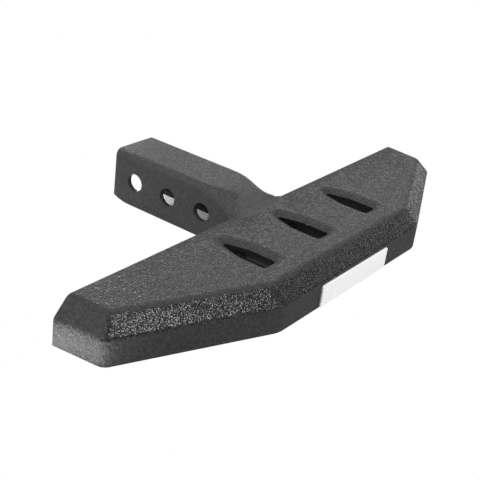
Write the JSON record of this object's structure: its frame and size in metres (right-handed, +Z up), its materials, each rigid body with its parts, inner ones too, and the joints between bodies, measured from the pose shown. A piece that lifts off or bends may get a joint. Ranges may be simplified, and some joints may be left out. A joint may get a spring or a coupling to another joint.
{
  "type": "hitch receiver step",
  "caption": "Black textured steel hitch step: a bevelled, slotted tread with tapering wings and a plain white nameplate, on a square receiver tube with cross-pin holes.",
  "frame": {"origin": "on the receiver tube's axis, at the middle one of its cross-pin holes", "axes": "+X along the step, +Y along the receiver tube towards the vehicle, +Z up"},
  "size_m": [0.471, 0.2415, 0.0508],
  "materials": {
    "tread_coat": "black textured powder coat, coarse grain on the bevels",
    "tube_coat": "smooth satin black powder coat",
    "weld_coat": "satin black powder coat over a weld bead",
    "plate_face": "plain white, bare of any mark"
  },
  "bodies": {
    "root": {"step_shell": "tread_coat", "receiver_tube": "tube_coat", "tube_weld": "weld_coat", "nameplate": "plate_face"}
  },
  "joints": []
}
